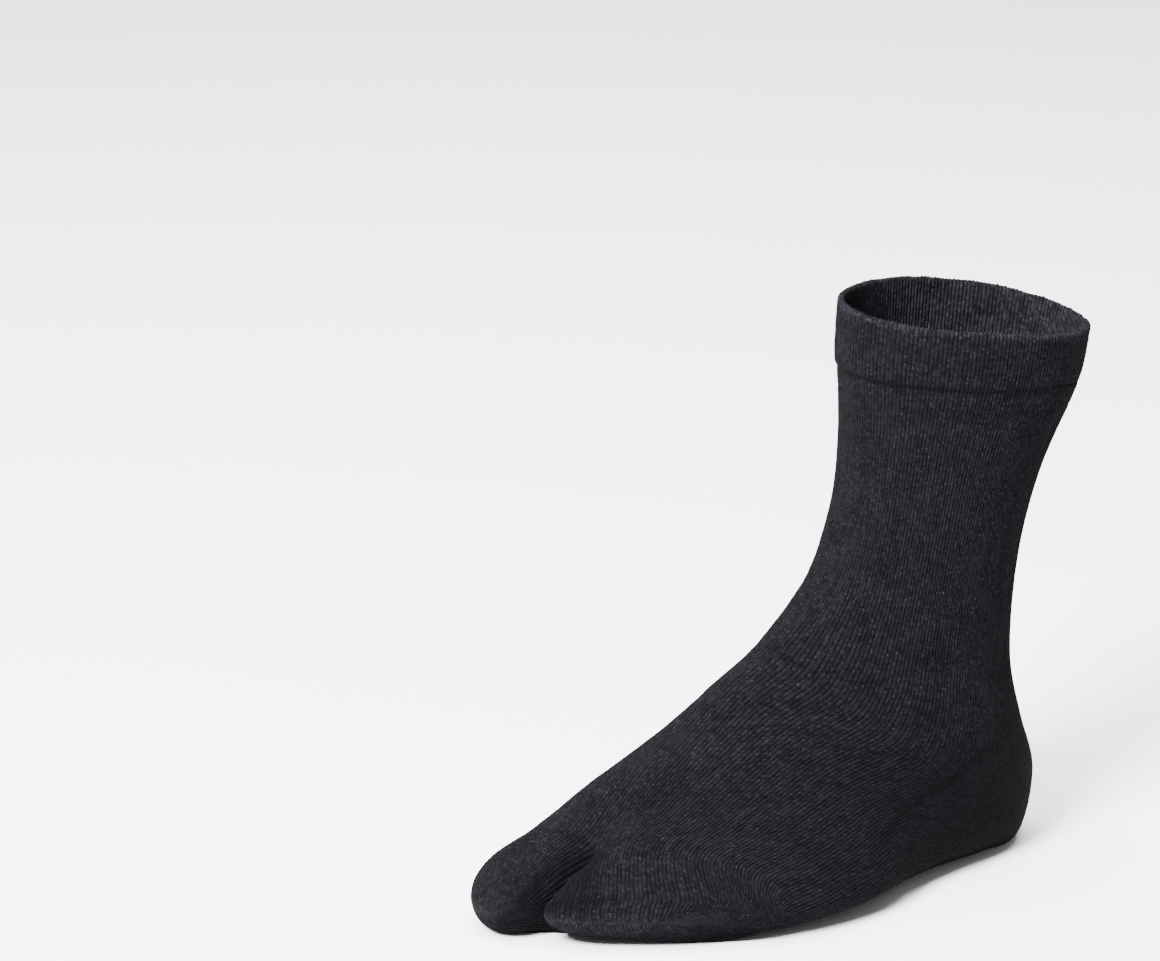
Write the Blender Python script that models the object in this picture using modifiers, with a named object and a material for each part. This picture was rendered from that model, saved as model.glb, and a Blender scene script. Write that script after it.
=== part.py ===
"""A tabi sock for the left foot, in the shape that it has when it is worn.

The sock is one knitted tube: leg, heel and foot, which parts at a cleft into a pocket for the big
toe and a pocket for the other four toes. The top of the leg is turned over into a double band.

Units are metres. +Z is up, the toes point towards -Y and the outer side of the foot faces +X.
The origin is on the floor, under the middle of the ankle.
"""

import collections
import math

import bpy
import numpy as np

# Whole sock
FOOT_LENGTH = 0.244
RIM_HEIGHT = 0.2235
HEEL_SETBACK = 0.052
WALL = 0.0020

# Leg
RIM_DEPTH = 0.1078
RIM_WIDTH = 0.0840
RIM_BANK = 5.5
ANKLE_DEPTH = 0.0840
ANKLE_WIDTH = 0.0690
ANKLE_RISE = 0.0190
LEG_LEAN = 0.0180

# Double band at the top of the leg
BAND_HEIGHT = 0.0250
BAND_THICKNESS = 0.0034
BAND_PROUD = 0.0012
BAND_GAP = 0.0004

# Foot
INSTEP_HEIGHT = 0.1010
HEEL_WIDTH = 0.0715
BALL_WIDTH = 0.1030
BALL_LAG = 51.0
ARCH_HEIGHT = 0.0060
SOLE_PRESS = 0.0030
SOLE_FADE = 0.0100

# Toes
CLEFT_OFFSET = 0.0080
CLEFT_DEPTH = 0.0070
CLEFT_SPREAD = 0.0095
CLEFT_WIDTH = 0.0012
CLEFT_BOW = 0.0035
BIG_TOE_WIDTH = 0.0370
BIG_TOE_HEIGHT = 0.0310
FOUR_TOES_WIDTH = 0.0520
FOUR_TOES_HEIGHT = 0.0250
FOUR_TOES_REACH = 0.2370
TOE_SLANT = 53.0
LAG_BEND = 0.0300

# How finely the cage is laid out: columns run along the knit, rows go round it
COLUMNS = 20
OUTER_COLUMNS = 11
WEB_COLUMNS = 3
BAND_ROWS = 4
TUBE_ROWS = 25
DENSE_STEPS = 720
ROUND = 2.0

# A cross-section lies between its front or top point and its back or sole point.
# Reaches run forward from the back of the heel, and the crest is where both points stand
# across the foot. Widest is where the section is widest, as a share of the way down it.
Section = collections.namedtuple(
    "Section", "top_reach top_height back_reach back_height width crest widest square lag arch bank"
)

# Leg, from the rim down to the ankle. Rise: 1 at the rim, 0 at the ankle.
# Flare and spread: how far depth and width go from the ankle's size to the rim's.
# Lean: share of the leg's lean. Tilt: how far the section's front is turned up, in degrees.
LegRow = collections.namedtuple("LegRow", "rise flare spread lean tilt bank widest")
LEG_ROWS = (
    LegRow(1.000, 1.00, 1.00, 1.00, 8.0, 1.0, 0.57),
    LegRow(None, 0.82, 0.84, 0.76, 8.5, 0.4, 0.55),
    LegRow(0.500, 0.20, 0.46, 0.40, 15.5, 0.0, 0.50),
    LegRow(0.235, 0.00, 0.12, 0.10, 21.0, 0.0, 0.50),
    LegRow(0.000, 0.26, 0.00, -0.14, 25.5, 0.0, 0.48),
)

# Ankle, heel and foot, from the ankle to the cleft.
# Reaches are shares of the foot's length, heights are shares of the instep's height.
# Breadth goes from 0, the heel's width, to 1, the ball's width.
# Crest, lag and arch are shares of the cleft's offset, the ball's lag and the arch's height.
FootRow = collections.namedtuple(
    "FootRow", "top_reach top_height back_reach back_height breadth crest widest square lag arch"
)
FOOT_ROWS = (
    FootRow(0.423, 1.236, 0.052, 0.740, -0.06, 0.0, 0.46, 2.0, 0.00, 0.0),
    FootRow(0.463, 1.136, 0.023, 0.500, -0.03, 0.0, 0.46, 2.0, 0.00, 0.0),
    FootRow(0.505, 1.060, -0.007, 0.245, 0.00, 0.0, 0.50, 2.1, 0.00, 0.0),
    FootRow(0.539, 1.004, 0.022, 0.008, 0.03, 0.0, 0.58, 2.4, 0.00, 0.0),
    FootRow(0.574, 0.954, 0.120, 0.000, 0.06, 0.0, 0.66, 2.7, 0.00, 0.3),
    FootRow(0.616, 0.884, 0.223, 0.000, 0.13, 0.2, 0.70, 2.7, 0.13, 0.8),
    FootRow(0.658, 0.791, 0.341, 0.000, 0.32, 0.4, 0.70, 2.7, 0.35, 1.0),
    FootRow(0.712, 0.680, 0.458, 0.000, 0.63, 0.6, 0.69, 2.8, 0.60, 0.7),
    FootRow(0.763, 0.575, 0.591, 0.000, 0.92, 0.8, 0.67, 3.0, 0.82, 0.2),
    FootRow(0.801, 0.475, 0.735, 0.000, 1.00, 1.0, 0.64, 3.2, 0.93, 0.0),
    FootRow(0.822, 0.420, 0.830, 0.000, 0.86, 1.0, 0.60, 3.2, 1.00, 0.0),
)

# Toe pockets, from the cleft to the tip. Along: share of the way to the tip.
# Form: 0 keeps the foot's section at the cleft, 1 is the pocket's own round section.
# Wide and high are shares of the pocket's width and height, mid is its middle's share of the height.
ToeRow = collections.namedtuple("ToeRow", "along form wide high mid")
BIG_TOE_ROWS = (
    ToeRow(0.20, 0.35, 1.00, 1.00, 0.50),
    ToeRow(0.44, 0.80, 1.00, 1.00, 0.50),
    ToeRow(0.66, 1.00, 0.98, 0.96, 0.48),
    ToeRow(0.85, 1.00, 0.87, 0.77, 0.42),
    ToeRow(0.96, 1.00, 0.65, 0.50, 0.39),
    ToeRow(1.00, 1.00, 0.34, 0.24, 0.38),
)
FOUR_TOES_ROWS = (
    ToeRow(0.22, 0.35, 1.00, 1.00, 0.50),
    ToeRow(0.46, 0.80, 1.00, 0.96, 0.53),
    ToeRow(0.70, 1.00, 1.00, 0.85, 0.58),
    ToeRow(0.88, 1.00, 0.97, 0.70, 0.59),
    ToeRow(0.97, 1.00, 0.88, 0.48, 0.58),
    ToeRow(1.00, 1.00, 0.72, 0.26, 0.56),
)

KNIT_COLOUR = (0.021, 0.020, 0.024, 1.0)
BAND_COLOUR = (0.023, 0.022, 0.026, 1.0)


def between(low, high, share):
    """The value that lies this share of the way from low to high."""
    return low + (high - low) * share


def leg_section(row):
    """A level of the leg: an oval round a point of the leaning leg, turned up at its front."""
    ankle_height = INSTEP_HEIGHT + ANKLE_RISE
    if row.rise is None:
        height = RIM_HEIGHT - BAND_HEIGHT
    else:
        height = between(ankle_height, RIM_HEIGHT, row.rise)
    middle = HEEL_SETBACK - LEG_LEAN * row.lean
    half = between(ANKLE_DEPTH, RIM_DEPTH, row.flare) / 2
    tilt = math.radians(row.tilt)
    return Section(
        top_reach=middle + half * math.cos(tilt),
        top_height=height + half * math.sin(tilt),
        back_reach=middle - half * math.cos(tilt),
        back_height=height - half * math.sin(tilt),
        width=between(ANKLE_WIDTH, RIM_WIDTH, row.spread),
        crest=0.0,
        widest=row.widest,
        square=ROUND,
        lag=0.0,
        arch=0.0,
        bank=math.tan(math.radians(RIM_BANK * row.bank)),
    )


def foot_section(row):
    """A level of the heel or foot, from its table of shares."""
    return Section(
        top_reach=row.top_reach * FOOT_LENGTH,
        top_height=row.top_height * INSTEP_HEIGHT,
        back_reach=row.back_reach * FOOT_LENGTH,
        back_height=row.back_height * INSTEP_HEIGHT,
        width=between(HEEL_WIDTH, BALL_WIDTH, row.breadth),
        crest=-row.crest * CLEFT_OFFSET,
        widest=row.widest,
        square=row.square,
        lag=math.tan(math.radians(BALL_LAG)) * row.lag,
        arch=row.arch * ARCH_HEIGHT,
        bank=0.0,
    )


def smooth_sections(sections, places):
    """Sections read at fractional places in the table, along a Catmull-Rom curve through its rows."""
    table = np.array(sections)
    first = 2 * table[0] - table[1]
    last = 2 * table[-1] - table[-2]
    table = np.vstack([first, table, last])
    start = np.minimum(np.floor(places).astype(int), len(sections) - 2)
    t = (places - start)[:, None]
    a, b, c, d = (table[start + step] for step in range(4))
    curve = 2 * b + (c - a) * t + (2 * a - 5 * b + 4 * c - d) * t**2 + (3 * b - a - 3 * c + d) * t**3
    return [Section(*row) for row in curve / 2]


def beyond_cleft(across):
    """How far a point lies to the outer side of the cleft, levelling off on the inner side."""
    beyond = across + CLEFT_OFFSET
    return (np.hypot(beyond, LAG_BEND) + beyond - LAG_BEND) / 2


def ring(section, proud=0.0):
    """Points round one section, evenly spaced, from its top point over the outer side.

    The curve is an ellipse in its upper part and a squarer superellipse below. Proud moves
    it outwards all round.
    """
    angle = np.linspace(0, 2 * math.pi, DENSE_STEPS + 1)
    sine, cosine = np.sin(angle), np.cos(angle)
    power = 2 / np.where(cosine >= 0, ROUND, section.square)
    drop = np.where(
        cosine >= 0,
        section.widest * (1 - np.abs(cosine) ** power),
        section.widest + (1 - section.widest) * np.abs(cosine) ** power,
    )
    side = section.width / 2 - np.sign(sine) * section.crest
    across = section.crest + side * np.sign(sine) * np.abs(sine) ** power
    reach = between(section.top_reach, section.back_reach, drop)
    height = between(section.top_height, section.back_height, drop)
    depth = math.hypot(section.top_reach - section.back_reach, section.top_height - section.back_height)
    across = across * (1 + 2 * proud / section.width)
    reach = reach + (reach - reach.mean()) * 2 * proud / depth

    reach = reach - section.lag * beyond_cleft(across)
    height = height - section.bank * across
    inner = np.clip(-across / (section.width / 2), 0, 1)
    height = height + section.arch * inner * np.clip(drop * 2 - 1, 0, 1)

    steps = np.hypot(np.hypot(np.diff(across), np.diff(reach)), np.diff(height))
    length = np.concatenate([[0], np.cumsum(steps)])
    even = np.linspace(0, length[-1], COLUMNS, endpoint=False)
    return np.stack([np.interp(even, length, line) for line in (across, reach, height)], axis=1)


def tube_rings(sections, first, last, rows):
    """Rings from one place in the table to another, as an array of rows by columns by 3."""
    places = np.linspace(first, last, rows)
    return np.array([ring(section) for section in smooth_sections(sections, places)])


def pressed_cleft(rings):
    """The last rings with a groove over and under the cleft, deepest at the cleft itself."""
    rings = rings.copy()
    cleft_reach = rings[-1, 0, 1]
    near = np.clip(1 - (cleft_reach - rings[:, 0, 1]) / (CLEFT_SPREAD * 4), 0, 1) ** 2
    column = np.arange(COLUMNS)
    girth = np.linalg.norm(rings[-1] - np.roll(rings[-1], 1, axis=0), axis=1).sum()
    from_top = np.minimum(column, COLUMNS - column) * girth / COLUMNS
    from_sole = np.abs(column - OUTER_COLUMNS) * girth / COLUMNS
    rings[:, :, 2] -= near[:, None] * CLEFT_DEPTH * np.exp(-((from_top / CLEFT_SPREAD) ** 2))
    rings[:, :, 2] += near[:, None] * CLEFT_DEPTH / 2 * np.exp(-((from_sole / CLEFT_SPREAD) ** 2))
    return rings


def web_line(cleft_ring):
    """The knit between the two pockets, from the sole up to the top of the cleft."""
    share = np.linspace(0, 1, WEB_COLUMNS + 2)[1:-1, None]
    web = between(cleft_ring[OUTER_COLUMNS], cleft_ring[0], share)
    web[:, 1] -= CLEFT_BOW * np.sin(math.pi * share[:, 0])
    return web


def toe_loop(row, middle, width, height, facing):
    """Points round a pocket's own section. Facing is +1 where the cleft is on its inner side.

    The knit's columns take the three quarters of the oval away from the cleft, and the web's
    columns take the quarter that faces it. The angle is 0 at the top and grows outwards.
    """
    outer = OUTER_COLUMNS if facing > 0 else COLUMNS - OUTER_COLUMNS
    away = np.linspace(-math.pi / 4, 5 * math.pi / 4, outer + 1)
    towards = np.linspace(5 * math.pi / 4, 7 * math.pi / 4, WEB_COLUMNS + 2)[1:-1]
    angle = np.concatenate([away, towards])
    if facing < 0:
        angle = angle + math.pi
    across = middle + width / 2 * row.wide * np.sin(angle)
    level = height * row.mid + height / 2 * row.high * np.cos(angle)
    return across, level


def pocket_rings(start, rows, middle, width, height, facing, tip_reach, slant):
    """Rings of a toe pocket, from the opening at the cleft to the small loop at its tip."""
    rings = [start]
    for row in rows:
        across, level = toe_loop(row, middle, width, height, facing)
        across = between(start[:, 0], across, row.form)
        level = between(start[:, 2], level, row.form)
        tip = tip_reach - math.tan(math.radians(slant)) * beyond_cleft(across)
        rings.append(np.stack([across, between(start[:, 1], tip, row.along), level], axis=1))
    return np.array(rings)


def settled(points):
    """Points turned into the sock's frame, with the sole pressed flat where it meets the floor."""
    across, reach, height = np.moveaxis(points, -1, 0)
    height = np.maximum(height - SOLE_PRESS * np.exp(-height / SOLE_FADE), 0)
    return np.stack([across, HEEL_SETBACK - reach, height], axis=-1)


def grid_faces(numbers):
    """Four-sided faces between neighbouring rings, given each ring's point numbers."""
    after = np.roll(numbers, -1, axis=1)
    faces = np.stack([numbers[:-1], numbers[1:], after[1:], after[:-1]], axis=-1)
    return faces.reshape(-1, 4).tolist()


def closing_faces(loop, outer):
    """Faces that close a pocket's last loop, from side to side between its top and its sole."""
    faces = []
    top, sole = outer // 2, outer // 2 + 1
    while (top - 1) % len(loop) != (sole + 1) % len(loop):
        corners = [top, (top - 1) % len(loop), (sole + 1) % len(loop), sole]
        faces.append([loop[corner] for corner in corners])
        top, sole = corners[1], corners[2]
    faces.append([loop[corner] for corner in (top, (top - 1) % len(loop), sole)])
    return faces


def cage_of_body(sections):
    """Points and faces of the sock's outer surface below the band, open at the top."""
    gap_share = BAND_GAP / BAND_HEIGHT
    tube = pressed_cleft(tube_rings(sections, 1 + gap_share, len(sections) - 1, TUBE_ROWS))
    web = web_line(tube[-1])
    four_start = np.vstack([tube[-1, : OUTER_COLUMNS + 1], web])
    big_start = np.vstack([tube[-1, OUTER_COLUMNS:], tube[-1, :1], web[::-1]])
    half_gap = CLEFT_WIDTH / 2
    four = pocket_rings(
        four_start, FOUR_TOES_ROWS, -CLEFT_OFFSET + half_gap + FOUR_TOES_WIDTH / 2,
        FOUR_TOES_WIDTH, FOUR_TOES_HEIGHT, 1, FOUR_TOES_REACH, TOE_SLANT,
    )
    big = pocket_rings(
        big_start, BIG_TOE_ROWS, -CLEFT_OFFSET - half_gap - BIG_TOE_WIDTH / 2,
        BIG_TOE_WIDTH, BIG_TOE_HEIGHT, -1, FOOT_LENGTH, 0.0,
    )

    tube_numbers = np.arange(TUBE_ROWS * COLUMNS).reshape(TUBE_ROWS, COLUMNS)
    web_numbers = tube_numbers.size + np.arange(WEB_COLUMNS)
    faces = grid_faces(tube_numbers)
    points = [tube.reshape(-1, 3), web]
    used = tube_numbers.size + WEB_COLUMNS
    starts = (
        np.concatenate([tube_numbers[-1, : OUTER_COLUMNS + 1], web_numbers]),
        np.concatenate([tube_numbers[-1, OUTER_COLUMNS:], tube_numbers[-1, :1], web_numbers[::-1]]),
    )
    for start, pocket, outer in zip(starts, (four, big), (OUTER_COLUMNS, COLUMNS - OUTER_COLUMNS)):
        loops = used + np.arange((len(pocket) - 1) * len(start)).reshape(-1, len(start))
        used += loops.size
        points.append(pocket[1:].reshape(-1, 3))
        faces += grid_faces(np.vstack([start, loops]))
        faces += closing_faces(loops[-1].tolist(), outer)
    return settled(np.vstack(points)), faces


def cage_of_band(sections):
    """Points and faces of the double band's outer surface, from the rim down to the leg."""
    places = np.linspace(0, 1, BAND_ROWS)
    rings = [ring(section, BAND_PROUD) for section in smooth_sections(sections, places)]
    numbers = np.arange(BAND_ROWS * COLUMNS).reshape(BAND_ROWS, COLUMNS)
    return settled(np.vstack(rings)), grid_faces(numbers)


def knit_material(name, colour):
    material = bpy.data.materials.new(name)
    material.use_nodes = True
    shader = material.node_tree.nodes["Principled BSDF"]
    shader.inputs["Base Color"].default_value = colour
    shader.inputs["Roughness"].default_value = 0.95
    shader.inputs["Metallic"].default_value = 0.0
    return material


def knitted_shell(name, points, faces, wall, material, collection):
    """An open cage made smooth by subdivision, then given its wall on the inner side."""
    mesh = bpy.data.meshes.new(name)
    mesh.from_pydata(points.tolist(), [], faces)
    mesh.shade_smooth()
    mesh.materials.append(material)
    shell = bpy.data.objects.new(name, mesh)
    collection.objects.link(shell)
    smooth = shell.modifiers.new("smooth", "SUBSURF")
    smooth.levels = 1
    smooth.render_levels = smooth.levels
    smooth.use_limit_surface = False
    thick = shell.modifiers.new("wall", "SOLIDIFY")
    thick.thickness = wall
    thick.offset = -1
    return shell


def main():
    for old in list(bpy.data.objects):
        bpy.data.objects.remove(old)
    collection = bpy.data.collections.new("tabi_sock")
    bpy.context.scene.collection.children.link(collection)

    sections = [leg_section(row) for row in LEG_ROWS] + [foot_section(row) for row in FOOT_ROWS]
    body_points, body_faces = cage_of_body(sections)
    band_points, band_faces = cage_of_band(sections)
    knitted_shell(
        "sock_body", body_points, body_faces, WALL, knit_material("knit", KNIT_COLOUR), collection
    )
    knitted_shell(
        "cuff_band", band_points, band_faces, BAND_THICKNESS,
        knit_material("band_knit", BAND_COLOUR), collection,
    )


main()
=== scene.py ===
# %% [markdown]
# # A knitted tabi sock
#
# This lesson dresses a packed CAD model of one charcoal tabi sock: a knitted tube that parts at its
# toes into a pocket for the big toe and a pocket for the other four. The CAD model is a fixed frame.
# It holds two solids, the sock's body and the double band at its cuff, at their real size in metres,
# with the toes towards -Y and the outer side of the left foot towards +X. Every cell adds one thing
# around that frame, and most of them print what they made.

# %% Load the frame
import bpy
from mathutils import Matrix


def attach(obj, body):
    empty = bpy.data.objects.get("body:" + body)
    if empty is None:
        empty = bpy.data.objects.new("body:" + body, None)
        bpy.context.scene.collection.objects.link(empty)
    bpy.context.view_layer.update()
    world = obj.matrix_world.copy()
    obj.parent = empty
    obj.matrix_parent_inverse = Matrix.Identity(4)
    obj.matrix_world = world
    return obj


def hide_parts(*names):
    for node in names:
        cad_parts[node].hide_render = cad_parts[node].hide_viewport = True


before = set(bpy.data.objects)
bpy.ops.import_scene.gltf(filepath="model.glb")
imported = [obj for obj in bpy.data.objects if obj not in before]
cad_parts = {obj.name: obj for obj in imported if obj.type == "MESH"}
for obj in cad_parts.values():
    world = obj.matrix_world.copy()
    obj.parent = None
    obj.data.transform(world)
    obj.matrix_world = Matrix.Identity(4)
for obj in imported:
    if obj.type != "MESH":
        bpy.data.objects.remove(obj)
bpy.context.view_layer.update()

import collections
import math

import bpy
import numpy as np

# %% [markdown]
# ## The camera
#
# The sock is seen from its outer front side, from a little above, through a long lens: its far and
# near rims are almost the same size. The picture is 1160 by 961 pixels, and the lens is given in
# pixels for that width, which is how a camera is found from a photograph. The sock stands to the
# right of the picture's middle, so the camera looks past it and needs no shift.

# %% Set up the camera
PICTURE_WIDTH = 1160
FOCAL_PIXELS = 4484.24
SENSOR_MM = 36.0
CAMERA_PLACE = (1.3070, -1.0477, 0.7107)
CAMERA_AZIMUTH = 55.934
CAMERA_ELEVATION = 18.374

camera_data = bpy.data.cameras.new("camera")
camera_data.sensor_fit = "HORIZONTAL"
camera_data.sensor_width = SENSOR_MM
camera_data.lens = FOCAL_PIXELS / PICTURE_WIDTH * SENSOR_MM
camera = bpy.data.objects.new("camera", camera_data)
camera.location = CAMERA_PLACE
camera.rotation_euler = (math.radians(90 - CAMERA_ELEVATION), 0, math.radians(CAMERA_AZIMUTH))
bpy.context.scene.collection.objects.link(camera)
bpy.context.scene.camera = camera
print(f"lens {camera_data.lens:.1f} mm on a {SENSOR_MM:.0f} mm sensor")

# %% [markdown]
# ## Shader maths as Python
#
# A knit's colour and bump are formulas of where a point lies in the cloth. Node trees for such
# formulas are hard to read, so one small class wraps a socket and gives it Python's operators: an
# expression such as `1 - mask * 0.5` adds the Math nodes by itself. Numbers that meet only numbers
# never reach the tree.

# %% Wrap sockets in an arithmetic class
class Wire:
    """One value that runs through a node tree, with Python's operators."""

    def __init__(self, bench, socket):
        self.bench = bench
        self.socket = socket

    def __add__(self, other):
        return self.bench.maths("ADD", self, other)

    __radd__ = __add__

    def __sub__(self, other):
        return self.bench.maths("SUBTRACT", self, other)

    def __rsub__(self, other):
        return self.bench.maths("SUBTRACT", other, self)

    def __mul__(self, other):
        return self.bench.maths("MULTIPLY", self, other)

    __rmul__ = __mul__

    def __truediv__(self, other):
        return self.bench.maths("DIVIDE", self, other)

    def __pow__(self, other):
        return self.bench.maths("POWER", self, other)

    def __abs__(self):
        return self.bench.maths("ABSOLUTE", self)


class Bench:
    """A material's node tree, and the few ways in which this lesson adds nodes to it."""

    def __init__(self, name):
        self.material = bpy.data.materials.new(name)
        self.material.use_nodes = True
        self.tree = self.material.node_tree
        self.shader = self.tree.nodes["Principled BSDF"]

    def set(self, socket, value):
        """Links a wire to a socket, or sets its constant."""
        if isinstance(value, Wire):
            self.tree.links.new(value.socket, socket)
        else:
            socket.default_value = value

    def node(self, kind, settings=(), values=(), output=0):
        """Adds a node, sets its settings, then fills its sockets, and returns one output as a wire."""
        node = self.tree.nodes.new(kind)
        for name, setting in dict(settings).items():
            setattr(node, name, setting)
        for name, value in dict(values).items():
            self.set(node.inputs[name], value)
        return Wire(self, node.outputs[output])

    def maths(self, operation, first, second=0.0):
        return self.node("ShaderNodeMath", {"operation": operation}, {0: first, 1: second})

    def step(self, value, low, high):
        """0 below low, 1 above high and a smooth rise between them."""
        return self.node(
            "ShaderNodeMapRange", {"interpolation_type": "SMOOTHSTEP"},
            {"Value": value, "From Min": low, "From Max": high},
        )

    def vector(self, x, y, z=0.0):
        return self.node("ShaderNodeCombineXYZ", (), {0: x, 1: y, 2: z})

    def colours(self, factor, first, second):
        """A mix of two colours."""
        return self.node("ShaderNodeMix", {"data_type": "RGBA"}, {0: factor, 6: first, 7: second}, 2)


print("operators ready:", ", ".join(name for name in vars(Wire) if name.startswith("__")))

# %% [markdown]
# ## The floor and the studio
#
# The sock stands on a plain white floor. A large soft light from the front left models the toes, one
# from above reaches into the cuff, and a white surrounding light keeps the shadow pale and short.

# %% Make the floor and the lights
FLOOR_HALF = 6.0
FLOOR_COLOUR = (0.94, 0.94, 0.94, 1.0)
SURROUND_COLOUR = (1.0, 1.0, 1.0, 1.0)
SURROUND_STRENGTH = 0.45

Lamp = collections.namedtuple("Lamp", "name place size power")
LAMPS = (
    Lamp("key_light", (0.55, -1.55, 1.55), 0.8, 280.0),
    Lamp("top_light", (-0.20, -0.10, 2.00), 2.2, 180.0),
)
AIM = (0.0, -0.05, 0.08)

corners = FLOOR_HALF * np.array([(-1, -1, 0), (1, -1, 0), (1, 1, 0), (-1, 1, 0)])
floor_mesh = bpy.data.meshes.new("floor")
floor_mesh.from_pydata(corners.tolist(), [], [(0, 1, 2, 3)])
floor = bpy.data.objects.new("floor", floor_mesh)
bpy.context.scene.collection.objects.link(floor)
floor_bench = Bench("floor_paper")
floor_bench.set(floor_bench.shader.inputs["Base Color"], FLOOR_COLOUR)
floor_bench.set(floor_bench.shader.inputs["Roughness"], 0.9)
floor_mesh.materials.append(floor_bench.material)

world = bpy.data.worlds.new("studio")
world.use_nodes = True
world.node_tree.nodes["Background"].inputs["Color"].default_value = SURROUND_COLOUR
world.node_tree.nodes["Background"].inputs["Strength"].default_value = SURROUND_STRENGTH
bpy.context.scene.world = world

for lamp in LAMPS:
    light = bpy.data.lights.new(lamp.name, "AREA")
    light.shape = "DISK"
    light.size = lamp.size
    light.energy = lamp.power
    holder = bpy.data.objects.new(lamp.name, light)
    holder.location = lamp.place
    towards = np.array(AIM) - np.array(lamp.place)
    level = math.hypot(towards[0], towards[1])
    holder.rotation_euler = (math.atan2(level, -towards[2]), 0, math.atan2(-towards[0], towards[1]))
    bpy.context.scene.collection.objects.link(holder)
print("lights:", ", ".join(lamp.name for lamp in LAMPS))

# %% [markdown]
# ## The sock's sizes and sections
#
# The shape is a tube carried along the leg and foot. It could be sculpted, or grown from a coarse
# cage as the CAD model is, but a knit has to be followed stitch by stitch, so here every point is a
# formula of two numbers: the wale, which counts ribs round the tube, and the row, which counts down
# it. The tables below say how the section changes from the rim down to the cleft between the toes.
# Lengths in them are shares of the named sizes. A leg row's tilt is in degrees, and so are the named
# bank, lag and slant.

# %% Name the sizes and the tables of sections
FOOT_LENGTH = 0.244
RIM_HEIGHT = 0.2235
HEEL_SETBACK = 0.052
WALL = 0.0020
RIM_DEPTH = 0.1088
RIM_WIDTH = 0.0840
RIM_BANK = 3.6
RIM_SADDLE = 0.0016
ANKLE_DEPTH = 0.0850
ANKLE_WIDTH = 0.0690
ANKLE_RISE = 0.0190
LEG_LEAN = 0.0180
BAND_HEIGHT = 0.0250
BAND_THICKNESS = 0.0034
BAND_PROUD = 0.0012
INSTEP_HEIGHT = 0.1010
HEEL_WIDTH = 0.0715
BALL_WIDTH = 0.1030
BALL_LAG = 51.0
ARCH_HEIGHT = 0.0060
SOLE_PRESS = 0.0030
SOLE_FADE = 0.0100
CLEFT_OFFSET = 0.0080
CLEFT_DEPTH = 0.0060
CLEFT_SPREAD = 0.0095
CLEFT_WIDTH = 0.0012
CLEFT_BOW = 0.0035
BIG_TOE_WIDTH = 0.0355
BIG_TOE_HEIGHT = 0.0300
FOUR_TOES_WIDTH = 0.0465
FOUR_TOES_HEIGHT = 0.0250
FOUR_TOES_REACH = 0.2300
TOE_SLANT = 62.0
TOE_BEND = 0.0200
LAG_BEND = 0.0300
DRAWN_IN = 0.0013

LegRow = collections.namedtuple("LegRow", "rise flare spread lean tilt bank saddle widest")
BAND_FOOT_RISE = 1 - BAND_HEIGHT / (RIM_HEIGHT - INSTEP_HEIGHT - ANKLE_RISE)
LEG_ROWS = (
    LegRow(1.000, 1.05, 1.00, 0.93, 8.0, 1.0, 1.0, 0.57),
    LegRow(BAND_FOOT_RISE, 0.86, 0.84, 0.755, 8.5, 0.0, 1.0, 0.55),
    LegRow(0.500, 0.20, 0.46, 0.37, 15.5, 0.0, 0.0, 0.50),
    LegRow(0.235, 0.00, 0.12, 0.07, 21.0, 0.0, 0.0, 0.50),
    LegRow(0.000, 0.26, 0.00, -0.16, 25.5, 0.0, 0.0, 0.48),
)
FootRow = collections.namedtuple(
    "FootRow", "top_reach top_height back_reach back_height breadth crest widest square lag arch"
)
FOOT_ROWS = (
    FootRow(0.423, 1.236, 0.052, 0.740, -0.06, 0.0, 0.46, 2.0, 0.00, 0.0),
    FootRow(0.463, 1.136, 0.023, 0.500, -0.03, 0.0, 0.46, 2.0, 0.00, 0.0),
    FootRow(0.505, 1.060, -0.005, 0.255, 0.00, 0.0, 0.50, 2.1, 0.00, 0.0),
    FootRow(0.539, 1.004, 0.030, 0.016, 0.03, 0.0, 0.58, 2.2, 0.00, 0.0),
    FootRow(0.574, 0.954, 0.120, 0.000, 0.06, 0.0, 0.66, 2.4, 0.00, 0.3),
    FootRow(0.616, 0.884, 0.223, 0.000, 0.13, 0.2, 0.70, 2.4, 0.13, 0.8),
    FootRow(0.658, 0.791, 0.341, 0.000, 0.32, 0.4, 0.70, 2.5, 0.35, 1.0),
    FootRow(0.712, 0.680, 0.458, 0.000, 0.63, 0.6, 0.69, 2.5, 0.60, 0.7),
    FootRow(0.763, 0.575, 0.591, 0.000, 0.88, 0.8, 0.67, 2.6, 0.82, 0.2),
    FootRow(0.801, 0.475, 0.735, 0.000, 0.92, 1.0, 0.64, 2.7, 0.93, 0.0),
    FootRow(0.836, 0.410, 0.844, 0.000, 0.72, 1.0, 0.60, 2.7, 1.00, 0.0),
)
ToeRow = collections.namedtuple("ToeRow", "along form wide high mid shift square turn")
BIG_TOE_ROWS = (
    ToeRow(0.20, 0.30, 1.00, 1.00, 0.50, 0.000, 2.2, 0.005),
    ToeRow(0.44, 0.75, 1.00, 0.96, 0.50, 0.000, 2.2, 0.015),
    ToeRow(0.64, 1.00, 0.96, 0.84, 0.47, 0.000, 2.2, 0.025),
    ToeRow(0.82, 1.00, 0.82, 0.66, 0.42, 0.005, 2.1, 0.035),
    ToeRow(0.94, 1.00, 0.56, 0.41, 0.38, 0.010, 2.0, 0.040),
    ToeRow(0.985, 1.00, 0.30, 0.19, 0.37, 0.010, 2.0, 0.040),
    ToeRow(1.00, 1.00, 0.12, 0.02, 0.37, 0.010, 2.0, 0.040),
)
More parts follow.
